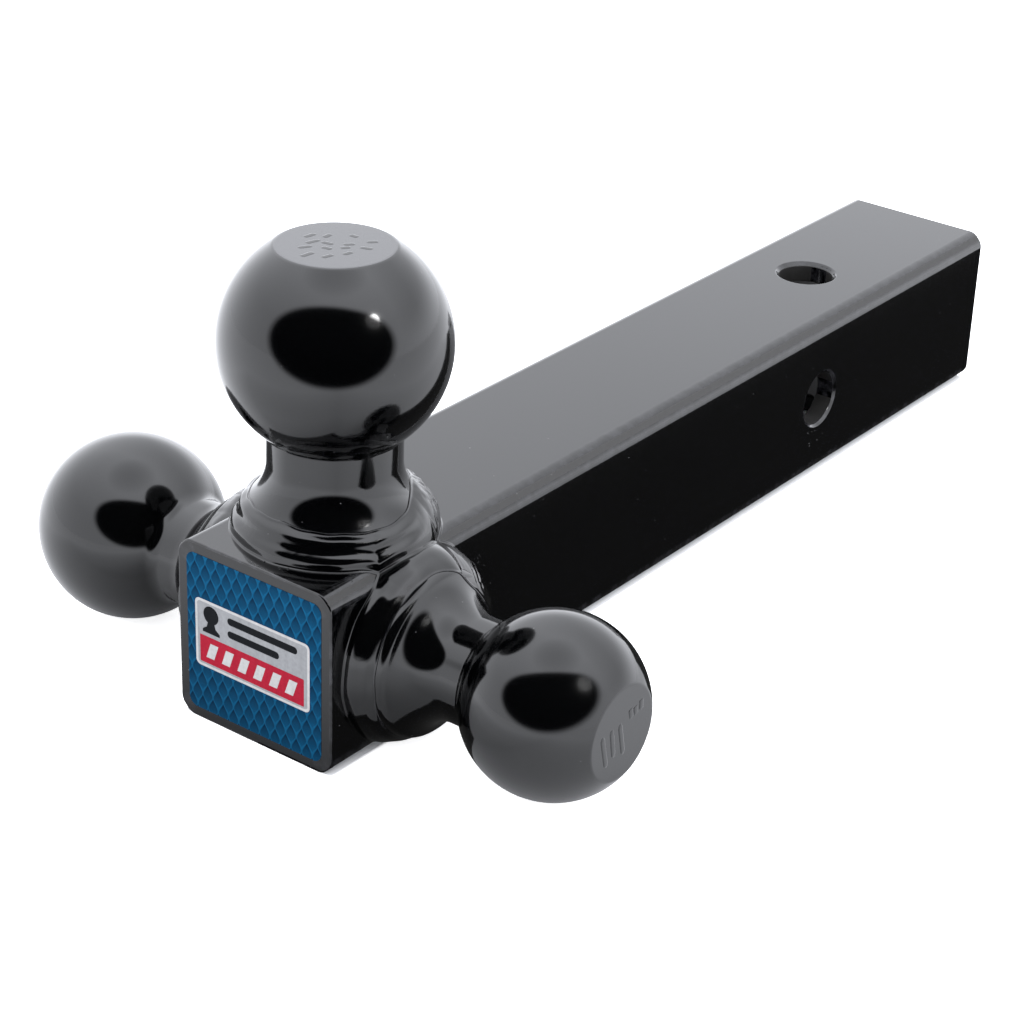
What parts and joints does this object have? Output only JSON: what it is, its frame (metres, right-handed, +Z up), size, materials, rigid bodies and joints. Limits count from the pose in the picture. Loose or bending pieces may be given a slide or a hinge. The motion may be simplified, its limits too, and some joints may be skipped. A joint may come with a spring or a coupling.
{
  "type": "trailer hitch with ball",
  "caption": "Drawbar for a square receiver: a hollow steel shank with pin bores and tow balls of different sizes welded round its closed front end.",
  "frame": {"origin": "where the side-to-side pin bore crosses the shank's own axis, centred between the shank's sides", "axes": "+Y along the shank towards its open rear end, which goes into the receiver; +Z up, through the largest ball; +X towards the smallest ball, along the side-to-side pin bore"},
  "size_m": [0.1843, 0.3212, 0.1259],
  "materials": {
    "shank_paint": "gloss black paint on steel",
    "ball_paint": "gloss black paint on forged steel",
    "weld_paint": "gloss black paint on weld metal",
    "label_film": "printed vinyl film, satin gloss"
  },
  "bodies": {
    "root": {"shank_tube": "shank_paint", "end_plate": "shank_paint", "end_plate_weld": "weld_paint", "label": "label_film", "top_ball": "ball_paint", "left_ball": "ball_paint", "right_ball": "ball_paint", "top_ball_weld": "weld_paint", "left_ball_weld": "weld_paint", "right_ball_weld": "weld_paint"}
  },
  "joints": []
}
